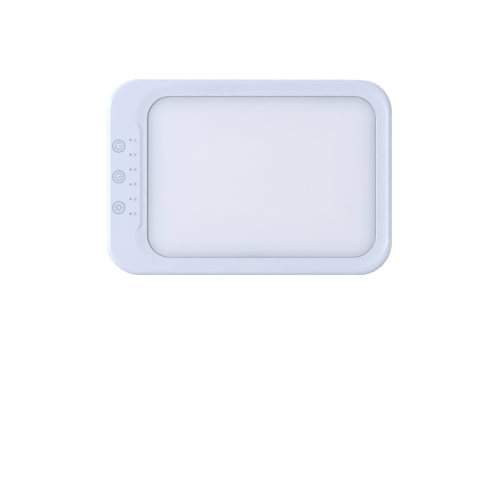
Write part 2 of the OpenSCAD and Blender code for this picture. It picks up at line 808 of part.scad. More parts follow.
// Sheet metal tray: a base with screw tabs and edges folded forward behind the diode strips
module light_tray() {
  fold_edges = concat(
    [window_z - strip_len / 2 + fold_in],
    [for (z = boss_rows, end = [-1, 1]) z + end * (tab_w / 2 + tab_gap)],
    [window_z + strip_len / 2]
  );
  color("#b9bec4") standing() difference() {
    union() {
      face_plate(tray_y, tray_back_y, window_z) rounded_rect(2 * tray_x, tray_h, guide_r + tray_over);
      for (side = [0, 1]) mirror([side, 0, 0]) {
        for (i = [0:2:len(fold_edges) - 1]) translate([fold_x, guide_y, fold_edges[i]])
          cube([tray_t, tray_back_y - guide_y, fold_edges[i + 1] - fold_edges[i]]);
        for (z = boss_rows) translate([tray_x - cut, tray_y, z - tab_w / 2])
          cube([boss_x - tray_x + cut + boss_d / 2, tray_t, tab_w]);
      }
    }
    for (x = [-boss_x, boss_x], z = boss_rows) translate([x, tray_y - cut, z]) rotate([-90, 0, 0])
      cylinder(d = screw_d + 2 * screw_fit, h = tray_t + 2 * cut);
  }
}

// Screws that hold the tray and clamp the light stack onto the ledge
module tray_screws() {
  color("#8d9298") standing() for (x = [-boss_x, boss_x], z = boss_rows)
    board_screw(x, tray_back_y, z, tray_t + screw_l - tip_gap);
}

// Circuit strip of the diodes, on the folded edge of the tray
module led_strip() {
  translate([strip_x, guide_y, window_z - strip_len / 2]) cube([strip_t, tray_y - guide_y, strip_len]);
}
module led_strip_left() {
  color("#e9efe9") standing() mirror([1, 0, 0]) led_strip();
}
module led_strip_right() {
  color("#e9efe9") standing() led_strip();
}

// Row of diodes that shine into the edge of the light guide
module led_row() {
  row_z = window_z - (led_count - 1) / 2 * led_pitch - led_l / 2;
  row_y = (guide_y + reflector_y - led_w) / 2;
  for (i = [0:led_count - 1]) translate([led_x, row_y, row_z + i * led_pitch])
    cube([led_t, led_w, led_l]);
}
module leds_left() {
  color("#f3e9a0") standing() mirror([1, 0, 0]) led_row();
}
module leds_right() {
  color("#f3e9a0") standing() led_row();
}

// Control board behind the pad
module control_board() {
  color("#2f7d4f") standing() difference() {
    face_plate(board_front_y, board_back_y, board_mid_z) square([board_w, board_h], center = true);
    for (x = [-board_screw_x, board_screw_x], z = board_screw_zs)
      translate([x, board_front_y - cut, z]) rotate([-90, 0, 0])
        cylinder(d = screw_d + 2 * screw_fit, h = board_t + 2 * cut);
  }
}

// Screws of the control board
module board_screws() {
  color("#8d9298") standing() for (x = [-board_screw_x, board_screw_x], z = board_screw_zs)
    board_screw(x, board_back_y, z, board_t + screw_l - tip_gap);
}

// Controller chip on the back of the board
module control_chip() {
  color("#26282b") standing() translate([chip_x, board_back_y, board_mid_z - chip_w / 2])
    cube([chip_w, chip_t, chip_w]);
}

// Wound coil of the diode driver
module driver_coil() {
  r = coil_d / 2;
  neck = r - coil_neck;
  low = coil_rim + coil_bevel;
  color("#4a3a30") standing() translate([coil_x, board_back_y, board_mid_z]) rotate([-90, 0, 0])
    rotate_extrude() polygon([
      [0, 0], [r, 0], [r, coil_rim], [neck, low], [neck, coil_h - low], [r, coil_h - coil_rim],
      [r, coil_h], [0, coil_h]
    ]);
}

// Can capacitor on its moulded base
module filter_capacitor() {
  color("#b4b8bd") standing() translate([can_x, board_back_y, board_mid_z]) rotate([-90, 0, 0]) {
    translate([-can_base / 2, -can_base / 2, 0]) cube([can_base, can_base, can_base_t]);
    cylinder(d = can_d, h = can_h);
  }
}

// Sprung contact caps that carry the touch keys from the board to the inner face of the pad
module touch_springs() {
  rim = spring_d / 2;
  foot = rim - 4 * spring_t;
  color("#c9a24a") standing() for (x = key_xs) translate([x, inner_face_y, key_z]) rotate([-90, 0, 0])
    rotate_extrude() polygon([
      [0, 0], [rim, 0], [rim, spring_t], [foot, board_gap], [foot - 1.5 * spring_t, board_gap],
      [rim - 2.5 * spring_t, 2 * spring_t], [0, 2 * spring_t]
    ]);
}

// Indicator diodes on the front of the board
module indicator_leds() {
  color("#f2d36b") standing() for (x = dot_xs)
    translate([x - dot_led[0] / 2, board_front_y - dot_led[1], dot_z - dot_led[2] / 2]) cube(dot_led);
}

// Clear light pipe: a bar with one pin in each pinhole and a foot on the board at each end
module light_pipe() {
  half = (dot_count - 1) / 2 * dot_pitch + pipe_t;
  color("#e8eef2") standing() union() {
    translate([-half, inner_face_y, dot_z - pipe_w / 2]) cube([2 * half, pipe_t, pipe_w]);
    for (x = dot_xs) translate([x, face_y + pipe_sink, dot_z]) rotate([-90, 0, 0])
      cylinder(d = dot_d - 2 * pipe_fit, h = wall + root);
    for (x = [-half, half - pipe_foot]) translate([x, inner_face_y + root, dot_z - pipe_w / 2])
      cube([pipe_foot, board_gap - root, pipe_w]);
  }
}

// Wire sockets on the back of the board
module wire_socket(x) {
  translate([x - plug_w / 2, board_back_y, board_mid_z - plug_h / 2]) difference() {
    cube([plug_w, plug_t, plug_h]);
    translate([plug_wall, plug_wall, plug_floor])
      cube([plug_w - 2 * plug_wall, plug_t - 2 * plug_wall, plug_h]);
  }
}
module led_connector() {
  color("#efe9d8") standing() wire_socket(led_plug_x);
}
module jack_connector() {
  color("#efe9d8") standing() wire_socket(jack_plug_x);
}

// Wires from the board behind the tray to the lower ends of the two diode strips
module led_wires() {
  back_y = tray_back_y + wire_d / 2 + wire_gap;
  mid_y = (guide_y + tray_y) / 2;
  end_z = window_z - strip_len / 2 + 2;
  fan_x = 6;
  fan_z = board_z + board_h + 3.5;
  side_x = tray_x + 1.6;
  turn_in = 7;
  color("#cfd3d8") standing() for (side = [-1, 1]) wire([
    [led_plug_x + side * plug_pitch / 2, plug_y, board_mid_z - wire_in],
    [led_plug_x + side * plug_pitch / 2, plug_y, board_mid_z + wire_out],
    [led_plug_x + side * fan_x, back_y, fan_z], [side * (tray_x - turn_in), back_y, end_z],
    [side * side_x, back_y, end_z + 1], [side * side_x, mid_y, end_z], [side * fold_x, mid_y, end_z]
  ]);
}

// Pair of wires from the socket to the board
module jack_wires() {
  turn_x = -board_w / 2 - wire_lead;
  color("#b3362f") standing() for (i = [-1, 1]) wire([
    jack_point([i * wire_d, 0, jack_back]), jack_point([i * wire_d, 0, jack_back - wire_lead]),
    [turn_x, plug_y, jack_z + 2 + i * pair_pitch],
    [jack_plug_x + i * 1.5 * wire_d, plug_y, board_mid_z + wire_out + 1 + i * pair_pitch],
    [jack_plug_x + i * plug_pitch / 2, plug_y, board_mid_z - wire_in]
  ]);
}

// Barrel of the power socket, open towards the facet
module jack_body() {
  color("#22252a") standing() at_jack() translate([0, 0, jack_back]) difference() {
    cylinder(d = jack_body_d, h = jack_body_l);
    translate([0, 0, jack_floor_t]) cylinder(d = jack_bore_d, h = jack_bore_l + cut);
    translate([0, 0, -cut]) cylinder(d = jack_root_d, h = jack_body_l);
  }
}

// Centre contact of the socket, pressed into its floor with a thicker root
module jack_pin() {
  color("#d8dbe0") standing() at_jack() translate([0, 0, jack_back]) union() {
    cylinder(d = jack_root_d, h = jack_floor_t);
    translate([0, 0, jack_floor_t]) cylinder(d1 = jack_root_d, d2 = jack_pin_d, h = jack_root_h);
    translate([0, 0, jack_floor_t + jack_root_h]) cylinder(d = jack_pin_d, h = contact_l - jack_root_h);
    translate([0, 0, jack_floor_t + contact_l])
      cylinder(d1 = jack_pin_d, d2 = contact_end_d, h = contact_end);
  }
}

// Plate that presses the socket against the facet, with a window for the wires
module jack_bracket() {
  color("#9aa0a6") standing() at_jack() translate([0, 0, jack_back - bracket_t]) difference() {
    translate([bracket_x - bracket_end, -bracket_w / 2, 0])
      cube([bracket_end - bracket_x + bracket_reach, bracket_w, bracket_t]);
    translate([-wire_slot[0] / 2, -wire_slot[1] / 2, -cut])
      cube([wire_slot[0], wire_slot[1], bracket_t + 2 * cut]);
    translate([bracket_x, 0, -cut]) cylinder(d = screw_d + 2 * screw_fit, h = bracket_t + 2 * cut);
  }
}

// Screw of the bracket
module jack_bracket_screw() {
  color("#8d9298") standing() at_jack() translate([bracket_x, 0, jack_back - bracket_t]) {
    cylinder(d = core_d, h = bracket_t + screw_l - tip_gap);
    translate([0, 0, -head_t]) cylinder(d = head_d, h = head_t);
  }
}

// Side view of the folded arm, as [depth, height]
module arm_side() {
  tip_in_y = arm_in_y + curl_in_rise;
  back = arm_reach;
  polygon([
    [arm_out_y, curl_z], [arm_out_y, hinge_z], [hinge_y, hinge_z],
    [hinge_y, hinge_z + heel_len], [arm_in_y, hinge_z + heel_len], [arm_in_y, curl_z]
  ]);
  intersection() {
    translate([hinge_y, hinge_z]) circle(heel_len);
    translate([hinge_y, hinge_z]) square([arm_out_y - hinge_y, heel_len]);
  }
  difference() {
    intersection() {
      polygon([
        [arm_in_y, curl_z], [arm_in_y, tip_z], [tip_in_y, tip_z],
        [tip_in_y + back, tip_z - back * tan(tip_cut)], [tip_in_y + back, curl_z]
      ]);
      translate([arm_in_y + curl_in_r, curl_z]) circle(curl_in_r, $fn = flat_fine);
    }
    translate([arm_out_y + curl_out_r, curl_z]) circle(curl_out_r, $fn = flat_fine);
  }
}

// Plan of the arm: it tapers to a tip with small round corners
module arm_plan() {
  end_z = hinge_z + heel_len;
  low_z = tip_z - 1;
  w0 = arm_half(low_z);
  w1 = arm_half(end_z);
  r = tip_corner_r;
  polygon([
    [-w0, low_z + r], [-w0 + r, low_z], [w0 - r, low_z], [w0, low_z + r], [w1, end_z], [-w1, end_z]
  ]);
  for (x = [-w0 + r, w0 - r]) translate([x, low_z + r]) circle(r);
}

// Cores in the inner side of the arm, in two rows with ribs between them
module arm_cores() {
  z0 = curl_z + core_low;
  z1 = hinge_z - core_top;
  rib = core_rib;
  pitch = (z1 - z0 + rib) / core_count;
  depth = arm_t - arm_skin;
  for (i = [0:core_count - 1], side = [0, 1]) mirror([side, 0, 0]) {
    low = z0 + i * pitch;
    high = low + pitch - rib;
    translate([0, arm_in_y + depth, 0]) rotate([90, 0, 0]) linear_extrude(depth + cut) polygon([
      [rib / 2, low], [arm_half(low) - arm_skin, low],
      [arm_half(high) - arm_skin, high], [rib / 2, high]
    ]);
  }
}

// Fold-out stand: a tapered arm with a curled tip, cored on its inner side and bored for the pin
module stand_arm() {
  color("#d7deea") opened() difference() {
    intersection() {
      translate([-arm_w, 0, 0]) rotate([90, 0, 90]) linear_extrude(2 * arm_w) arm_side();
      translate([0, arm_reach, 0]) rotate([90, 0, 0]) linear_extrude(2 * arm_reach) arm_plan();
    }
    arm_cores();
    translate([-arm_w, hinge_y, hinge_z]) rotate([0, 90, 0])
      cylinder(d = pin_d + 2 * press_fit, h = 2 * arm_w);
  }
}

// Steel pin, pressed into the arm
module hinge_pin() {
  color("#a9adb3") opened() translate([-pin_half, hinge_y, hinge_z]) rotate([0, 90, 0])
    cylinder(d = pin_d, h = 2 * pin_half);
}

// Flanged bushes in the bearings of the rear shell
module hinge_bushes() {
  color("#efe6cf") standing() for (side = [0, 1]) mirror([side, 0, 0])
    translate([tub_x, hinge_y, hinge_z]) rotate([0, 90, 0]) difference() {
      union() {
        cylinder(d = bush_d, h = bearing_l);
        translate([0, 0, bearing_l]) cylinder(d = flange_d, h = bush_flange_t);
      }
      translate([0, 0, -cut])
        cylinder(d = pin_d + 2 * pin_fit, h = bearing_l + bush_flange_t + 2 * cut);
    }
}

// Friction washers between the arm and the walls of the recess
module hinge_washers() {
  color("#c2c6cb") standing() for (side = [0, 1]) mirror([side, 0, 0])
    translate([tub_x - washer_gap - washer_t, hinge_y, hinge_z]) rotate([0, 90, 0]) difference() {
      cylinder(d = clip_d, h = washer_t);
      translate([0, 0, -cut]) cylinder(d = pin_d + 2 * pin_fit, h = washer_t + 2 * cut);
    }
}

// Push-on clips at the ends of the pin
module pin_clips() {
  color("#8d9298") opened() for (side = [0, 1]) mirror([side, 0, 0])
    translate([clip_x, hinge_y, hinge_z]) rotate([0, 90, 0]) difference() {
      cylinder(d = clip_d, h = clip_t);
      translate([0, 0, -cut]) cylinder(d = pin_d + 2 * press_fit, h = clip_t + 2 * cut);
    }
}

rear_shell();
front_bezel();
diffuser_gasket();
diffuser();
diffuser_film();
light_guide();
reflector_sheet();
light_tray();
tray_screws();
led_strip_left();
led_strip_right();
leds_left();
leds_right();
control_board();
board_screws();
control_chip();
driver_coil();
filter_capacitor();
touch_springs();
indicator_leds();
light_pipe();
led_connector();
jack_connector();
led_wires();
jack_wires();
jack_body();
jack_pin();
jack_bracket();
jack_bracket_screw();
stand_arm();
hinge_pin();
hinge_bushes();
hinge_washers();
pin_clips();
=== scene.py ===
import math

import bmesh
import bpy
from mathutils import Matrix, Vector


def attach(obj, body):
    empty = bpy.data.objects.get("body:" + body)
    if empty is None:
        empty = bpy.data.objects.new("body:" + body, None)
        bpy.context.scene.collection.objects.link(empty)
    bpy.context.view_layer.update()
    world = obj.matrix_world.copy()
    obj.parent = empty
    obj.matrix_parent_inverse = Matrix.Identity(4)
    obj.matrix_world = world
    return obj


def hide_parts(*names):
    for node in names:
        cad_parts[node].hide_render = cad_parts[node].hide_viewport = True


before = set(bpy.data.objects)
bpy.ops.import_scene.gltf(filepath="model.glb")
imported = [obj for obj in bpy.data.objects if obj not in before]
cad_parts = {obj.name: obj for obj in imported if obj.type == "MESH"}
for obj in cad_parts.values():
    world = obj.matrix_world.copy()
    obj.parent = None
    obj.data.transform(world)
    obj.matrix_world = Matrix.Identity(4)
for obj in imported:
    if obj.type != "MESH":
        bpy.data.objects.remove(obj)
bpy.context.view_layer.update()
scene = bpy.context.scene
scene.view_settings.view_transform = "Standard"

# Standing place of the panel
# The lamp stands in portrait and leans back on its open stand. Sizes on the panel are in millimetres:
# across from the middle, depth from the flat back, less than 0 towards the face, and up from the bottom
# edge. The lean and the foot are those that the CAD model works out from its two feet.
lean = math.radians(16.817)
face_depth = -19.0
panel_foot = Vector((0, -23.3063, -3.4718))
up_way = Vector((0, math.sin(lean), math.cos(lean)))
back_way = Vector((0, math.cos(lean), -math.sin(lean)))


def on_panel(across, depth, up):
    return (panel_foot + Vector((across, 0, 0)) + back_way * depth + up_way * up) / 1000


def panel_matrix(across, depth, up):
    """Flat on the panel, seen from the front: x to the right, y up the panel, z out of the face."""
    turn = Matrix((Vector((1, 0, 0)), up_way, -back_way)).transposed().to_4x4()
    return Matrix.Translation(on_panel(across, depth, up)) @ turn


# Camera
# It looks square onto the lit face from far away and is rolled on its side, so that the lamp lies in
# landscape with its touch strip at the left, in the upper part of a square picture.
picture_span = 411.5
picture_middle = (60.2, 118.0)
camera_distance = 4000
camera = bpy.data.objects.new("camera", bpy.data.cameras.new("camera"))
camera.data.sensor_width = 36
camera.data.lens = camera.data.sensor_width * camera_distance / picture_span
camera.data.clip_end = 60
roll = Matrix((up_way, Vector((-1, 0, 0)), -back_way)).transposed().to_4x4()
camera_place = on_panel(picture_middle[0], face_depth - camera_distance, picture_middle[1])
camera.matrix_world = Matrix.Translation(camera_place) @ roll
scene.collection.objects.link(camera)
scene.camera = camera


# Studio floor and sky
# A wide white floor takes the soft shadow of the lamp. To the camera and in gloss the floor and the
# sky are plain white, and the sky lights the object evenly at a lower level.
class Shade:
    """One socket of a finish. Sums of shades and numbers add the Math nodes that work them out."""

    def __init__(self, finish, socket):
        self.finish = finish
        self.socket = socket

    def sum(self, operation, *others):
        values = {i: v for i, v in enumerate((self, *others))}
        return self.finish.node("ShaderNodeMath", {"operation": operation}, values)[0]

    def __add__(self, other):
        return self.sum("ADD", other)

    def __radd__(self, other):
        return self + other

    def __sub__(self, other):
        return self.sum("SUBTRACT", other)

    def __rsub__(self, other):
        return self.finish.node("ShaderNodeMath", {"operation": "SUBTRACT"}, {0: other, 1: self})[0]

    def __mul__(self, other):
        return self.sum("MULTIPLY", other)

    def __rmul__(self, other):
        return self * other

    def __truediv__(self, other):
        return self.sum("DIVIDE", other)

    def __pow__(self, other):
        return self.sum("POWER", other)

    def __abs__(self):
        return self.sum("ABSOLUTE")

    def over(self, low):
        return self.sum("MAXIMUM", low)

    def under(self, high):
        return self.sum("MINIMUM", high)


class Finish:
    """A material drawn with nodes."""

    def __init__(self, name, home=None):
        self.home = home or bpy.data.materials.new(name)
        self.home.use_nodes = True
        self.tree = self.home.node_tree
        self.tree.nodes.clear()

    def node(self, kind, settings, values, stops=None):
        made = self.tree.nodes.new(kind)
        for key, setting in settings.items():
            setattr(made, key, setting)
        if stops:
            ramp = made.color_ramp
            while len(ramp.elements) < len(stops):
                ramp.elements.new(0.5)
            for element, (position, colour) in zip(ramp.elements, stops):
                element.position = position
                element.color = (*colour, 1)
        for key, value in values.items():
            socket = made.inputs[key] if isinstance(key, int) else self.find(made.inputs, key)
            if isinstance(value, Shade):
                self.tree.links.new(value.socket, socket)
            elif socket.type == "RGBA" and len(value) == 3:
                socket.default_value = (*value, 1)
            else:
                socket.default_value = value
        return [Shade(self, socket) for socket in made.outputs if socket.enabled]

    def find(self, sockets, name):
        return next(s for s in sockets if s.enabled and name in (s.name, s.identifier))

    def place(self):
        """Coordinates fixed to the piece, in metres, from the node's Object output."""
        object_output = 3
        return self.node("ShaderNodeTexCoord", {}, {})[object_output]

    def along(self, way, start=0.0):
        """Distance in millimetres along a direction, from start."""
        ends = {0: self.place(), 1: tuple(way)}
        return self.node("ShaderNodeVectorMath", {"operation": "DOT_PRODUCT"}, ends)[-1] * 1000 - start

    def noise(self, per_metre, detail=2.0, roughness=0.5, vector=None):
        values = {"Vector": vector or self.place(), "Scale": per_metre}
        values |= {"Detail": detail, "Roughness": roughness}
        return self.node("ShaderNodeTexNoise", {}, values)[0]

    def mix(self, factor, first, second):
        values = {"Factor_Float": factor, "A_Color": first, "B_Color": second}
        return self.node("ShaderNodeMix", {"data_type": "RGBA", "clamp_factor": True}, values)[0]

    def ramp(self, value, stops):
        return self.node("ShaderNodeValToRGB", {}, {"Fac": value}, stops)[0]

    def range(self, value, low, high, to_low=0.0, to_high=1.0):
        values = {"Value": value, "From Min": low, "From Max": high, "To Min": to_low, "To Max": to_high}
        return self.node("ShaderNodeMapRange", {"interpolation_type": "SMOOTHSTEP"}, values)[0]

    def bump(self, height, distance, strength=1.0):
        values = {"Height": height, "Distance": distance, "Strength": strength}
        return self.node("ShaderNodeBump", {}, values)[0]

    def surface(self, **values):
        """Ends the finish in a Principled shader, with its socket names written with underscores."""
        named = {key.replace("_", " "): value for key, value in values.items()}
        shader = self.node("ShaderNodeBsdfPrincipled", {}, named)[0]
        self.node("ShaderNodeOutputMaterial", {}, {"Surface": shader})
        return self.home


def white_to_the_eye(finish):
    """1 for rays from the camera and for gloss and glass, 0 for the light that falls on things."""
    from_camera, _, _, in_gloss, _, _, through_glass, *_ = finish.node("ShaderNodeLightPath", {}, {})
    return from_camera.over(in_gloss).over(through_glass)


floor_mesh = bpy.data.meshes.new("studio_floor")
reach = 30.0
floor_glow = 0.62
sky_level = 0.45
corners = [(-reach, -reach, 0), (reach, -reach, 0), (reach, reach, 0), (-reach, reach, 0)]
floor_mesh.from_pydata(corners, [], [(0, 1, 2, 3)])
floor = bpy.data.objects.new("studio_floor", floor_mesh)
scene.collection.objects.link(floor)
paint = Finish("studio_floor")
seen = white_to_the_eye(paint)
matte = paint.node("ShaderNodeBsdfDiffuse", {}, {"Color": (0.80, 0.80, 0.80)})[0]
glow = paint.node("ShaderNodeEmission", {}, {"Color": (1, 1, 1), "Strength": seen * floor_glow})[0]
both = paint.node("ShaderNodeAddShader", {}, {0: matte, 1: glow})[0]
paint.node("ShaderNodeOutputMaterial", {}, {"Surface": both})
floor.data.materials.append(paint.home)
floor.visible_shadow = False

world = bpy.data.worlds.new("studio_sky")
scene.world = world
sky = Finish("studio_sky", world)
seen = white_to_the_eye(sky)
colour = sky.mix(seen, (0.93, 0.96, 1.0), (1.0, 1.0, 1.0))
strength = seen * (1 - sky_level) + sky_level
backdrop = sky.node("ShaderNodeBackground", {}, {"Color": colour, "Strength": strength})[0]
sky.node("ShaderNodeOutputWorld", {}, {"Surface": backdrop})


# Studio lamps
# A large lamp far away shines up at the face through the floor, which throws no shadow itself, so that
# what slopes up and away from it darkens. A weak lamp stands in front, one above draws the top edge, and
# one low behind the side of the power socket draws the back, the stitches and the stand.
def soft_lamp(name, place, aim, size, watts):
    lamp = bpy.data.objects.new(name, bpy.data.lights.new(name, "AREA"))
    lamp.data.shape = "DISK"
    lamp.data.size = size
    lamp.data.energy = watts
    way = Vector(aim) - Vector(place)
    lamp.matrix_world = Matrix.Translation(place) @ way.to_track_quat("-Z", "Y").to_matrix().to_4x4()
    scene.collection.objects.link(lamp)


soft_lamp("low_lamp", place=(-0.4, -3.4, -2.0), aim=(0, 0, 0.1), size=1.3, watts=101)
soft_lamp("front_lamp", place=(-0.4, -1.6, 0.5), aim=(0, 0, 0.11), size=0.8, watts=1)
soft_lamp("top_lamp", place=(0.2, 0.1, 1.5), aim=(0, 0, 0.2), size=0.5, watts=4)
soft_lamp("back_lamp", place=(-1.7, 0.75, 0.35), aim=(0, 0, 0.11), size=0.8, watts=16)


# Front bezel
# Moulded in cool off-white plastic with a fine spark-eroded grain, one frame with the touch strip.
# It sinks a little towards the window, and its rim is clipped to the rear shell.
def housing_plastic(name, base, shade):
    """Satin moulded plastic: a fine grain, faint flow marks and a roughness that varies with both."""
    paint = Finish(name)
    flow = paint.noise(per_metre=22, detail=3.0)
    grain = paint.noise(per_metre=5200, detail=1.0)
    coarse = paint.noise(per_metre=1500, detail=2.0)
    colour = paint.mix(paint.range(flow, 0.3, 0.7), base, shade)
    rough = 0.26 + flow * 0.06 + grain * 0.05
    normal = paint.bump(grain * 0.7 + coarse * 0.3, distance=0.00001, strength=0.5)
    return paint.surface(Base_Color=colour, Roughness=rough, Normal=normal, IOR=1.5)


def finished(name, material):
    """Gives a solid of the model its material."""
    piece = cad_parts[name]
    piece.data.materials.clear()
    piece.data.materials.append(material)
    return piece


bezel_white = (0.685, 0.735, 0.865)
bezel_flow = (0.700, 0.748, 0.872)
bezel_plastic = housing_plastic("bezel_plastic", bezel_white, bezel_flow)
finished("front_bezel", bezel_plastic)

# The border round the window is a hollow cove: steep inside its outer edge, then flatter towards the
# window, whose lip it meets. It fades out towards the touch strip, whose own edge drops by a small soft
# step with turned-in ends. The moulding below is the bezel with that cove, cut finely enough to stay
# smooth. Lengths are in millimetres on the panel, and near is the slack for telling places apart.
window_half = (66.3, 94.1)
window_middle = 127.6
window_foot = window_middle - window_half[1]
window_corner = 18.5
cove_width = 10.6
cove_steepness = 2.6
cove_start = 8.0
cove_rise = 50.0
lip_width = 0.56
lip_drop = 1.521
lip_rise = 60.0
lip_depth = 2.4
strip_lip_drop = 1.15
step_crest = 27.2
step_half = 38.0
step_turn = 5.0
step_run = 3.8
step_steepness = 1.7
step_fade = (3.0, 3.5)
near = 0.05


def window_distance(across, up):
    """Distance outside the edge of the window."""
    side = abs(across) - window_half[0] + window_corner
    end = abs(up - window_middle) - window_half[1] + window_corner
    return math.hypot(max(side, 0), max(end, 0)) + min(max(side, end), 0) - window_corner


def smooth_step(value):
    """0 below 0, 1 above 1, and a soft rise between."""
    value = min(max(value, 0), 1)
    return value * value * (3 - 2 * value)


def border_drop(up):
    """How far the inner edge of the border lies below the face: least beside the touch strip."""
    return strip_lip_drop + (lip_drop - strip_lip_drop) * smooth_step((up - window_foot) / lip_rise)


def bezel_drop(across, up):
    """How far the bezel lies below its face."""
    inside = min(max((cove_width - window_distance(across, up)) / (cove_width - lip_width), 0), 1)
    steep_rim = 1 - (1 - inside) ** cove_steepness
    hollow = smooth_step((up - window_foot - cove_start) / cove_rise)
    drop = border_drop(up) * (smooth_step(inside) * (1 - hollow) + steep_rim * hollow)
    if up > window_middle:
        return drop
    past_end = max(abs(across) - step_half, 0)
    crest = step_crest - step_turn + math.sqrt(max(step_turn**2 - past_end**2, 0))
    step = 1 - (1 - min(max(up - crest, 0) / step_run, 1)) ** step_steepness
    beyond = smooth_step((past_end - step_fade[0]) / step_fade[1])
    return drop * beyond + strip_lip_drop * step * (1 - beyond)


def cove_normal(across, up):
    """Straight out of the border, from how its drop changes around the spot."""
    rise_across = (bezel_drop(across + near, up) - bezel_drop(across - near, up)) / (2 * near)
    rise_up = (bezel_drop(across, up + near) - bezel_drop(across, up - near)) / (2 * near)
    return (Vector((1, 0, 0)) * rise_across + up_way * rise_up - back_way).normalized()


def place_on_panel(point):
    """Across, depth and height on the panel, in millimetres, of a point of the model."""
    from_foot = point * 1000 - panel_foot
    return from_foot.x, from_foot.dot(back_way), from_foot.dot(up_way)


def in_cove(face):
    """Whether a face of the solid belongs to the sinking border or the slope of the touch strip."""
    faces_front, least_drop, most_drop = 0.8, 0.001, 1.08 * lip_drop
    spots = [place_on_panel(vert.co) for vert in face.verts]
    drop = max(depth for _, depth, _ in spots) - face_depth
    if face.normal.dot(-back_way) < faces_front or not least_drop <= drop < most_drop:
        return False
    least, most = lip_width - near, cove_width + near
    return all(least < window_distance(across, up) < most for across, _, up in spots)


def on_cove(corner_or_edge):
    """Whether a vertex or an edge belongs to a face of the cove."""
    return any(face[cove] for face in corner_or_edge.link_faces)


def too_long(edge):
    """Whether an edge of the cove is too long for the hollow, or for the turned-in ends of the step."""
    most_across, most_at_turn, before_turn = 0.5, 0.9, 2.0
    a, b = (place_on_panel(vert.co) for vert in edge.verts)
    if abs(window_distance(a[0], a[2]) - window_distance(b[0], b[2])) > most_across:
        return True
    at_turn = min(a[2], b[2]) < window_foot and max(abs(a[0]), abs(b[0])) > step_half - before_turn
    return at_turn and math.dist(a, b) > most_at_turn


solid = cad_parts["front_bezel"].data
moulding = bmesh.new()
moulding.from_mesh(solid)
kept_normal = moulding.loops.layers.float_vector.new("kept_normal")
moulding.faces.ensure_lookup_table()
for face, polygon in zip(moulding.faces, solid.polygons):
    for corner, index in zip(face.loops, polygon.loop_indices):
        corner[kept_normal] = solid.corner_normals[index].vector
cove = moulding.faces.layers.int.new("cove")
for face in moulding.faces:
    face[cove] = int(in_cove(face))
cove_verts = [vert for vert in moulding.verts if on_cove(vert)]
bmesh.ops.remove_doubles(moulding, verts=cove_verts, dist=1e-6)
cutting_rounds = 5
for _ in range(cutting_rounds):
    long_edges = [edge for edge in moulding.edges if on_cove(edge) and too_long(edge)]
    if not long_edges:
        break
    bmesh.ops.subdivide_edges(moulding, edges=long_edges, cuts=1)
    bmesh.ops.triangulate(moulding, faces=[f for f in moulding.faces if f[cove] and len(f.verts) > 3])
for vert in moulding.verts:
    across, depth, up = place_on_panel(vert.co)
    beyond_window = window_distance(across, up)
    if beyond_window > lip_width + near:
        if on_cove(vert):
            vert.co = on_panel(across, face_depth + bezel_drop(across, up), up)
    elif beyond_window > -near and depth < face_depth + lip_depth:
        vert.co = on_panel(across, depth + border_drop(up) - lip_drop, up)
bezel_mesh = bpy.data.meshes.new("bezel_moulding")
corner_normals = []
inward = 0.05
for face in moulding.faces:
    middle = face.calc_center_median()
    for corner in face.loops:
        across, _, up = place_on_panel(corner.vert.co.lerp(middle, inward))
        corner_normals.append(cove_normal(across, up) if face[cove] else corner[kept_normal].copy())
moulding.to_mesh(bezel_mesh)
moulding.free()
bezel_mesh.polygons.foreach_set("use_smooth", [True] * len(bezel_mesh.polygons))
bezel_mesh.normals_split_custom_set(corner_normals)
bezel_moulding = bpy.data.objects.new("bezel_moulding", bezel_mesh)
scene.collection.objects.link(bezel_moulding)
bezel_mesh.materials.clear()
bezel_mesh.materials.append(bezel_plastic)
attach(bezel_moulding, "panel")
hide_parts("front_bezel")


# Printing of the touch strip
# Three key rings with the signs for power, timer and brightness, and the minutes beside the pinholes,
# screen-printed on the bezel in a grey-blue ink that stands barely proud of it.
key_height = 10.0
key_spacing = 25.3
key_ring_radius = 4.95
key_ring_width = 0.72
sign_line = 0.6
power_radius = 2.75
power_gap = 38
power_bar = (0.1, 3.5)
timer_radius = 2.8
minute_hand = 1.9
hour_hand = (1.3, -0.8)
sun_radius = 1.75
sun_rays = (2.4, 3.35)
pinhole_spacing = 12.15
digit_place = 22.6
digit_size = 2.9
digit_boldness = 0.01
ink_height = 0.018


def ink_stroke(sheet, points, width, closed=False):
    """A line of ink along points, in millimetres on the panel, as a thin raised ribbon."""
    count = len(points)
    left, right = [], []
    for i, point in enumerate(points):
        before = points[(i - 1) % count] if closed or i else point
        after = points[(i + 1) % count] if closed or i < count - 1 else point
        way = (Vector(after) - Vector(before)).normalized()
        side = Vector((-way.y, way.x)) * width / 2
        for edge, offset in ((left, side), (right, -side)):
            x, y = Vector(point) + offset
            edge.append([sheet.verts.new(on_panel(x, face_depth - lift, y)) for lift in (0.0, ink_height)])
    steps = range(count if closed else count - 1)
    for i in steps:
        j = (i + 1) % count
        for a, b, c, d in (
            (left[i][1], right[i][1], right[j][1], left[j][1]),
            (left[i][0], left[i][1], left[j][1], left[j][0]),
            (right[i][1], right[i][0], right[j][0], right[j][1]),
            (right[i][0], left[i][0], left[j][0], right[j][0]),
        ):
            sheet.faces.new((a, b, c, d))
    if not closed:
        for left_end, right_end in ((left[0], right[0]), (left[-1], right[-1])):
            sheet.faces.new((left_end[0], right_end[0], right_end[1], left_end[1]))


def arc(centre, radius, start, end, steps=48):
    """Points on an arc, with angles in degrees from straight up the panel, clockwise."""
    turns = [math.radians(start + (end - start) * i / steps) for i in range(steps + 1)]
    return [(centre[0] + radius * math.sin(t), centre[1] + radius * math.cos(t)) for t in turns]


def ring(centre, radius, steps=72):
    return arc(centre, radius, 0, 360, steps)[:-1]


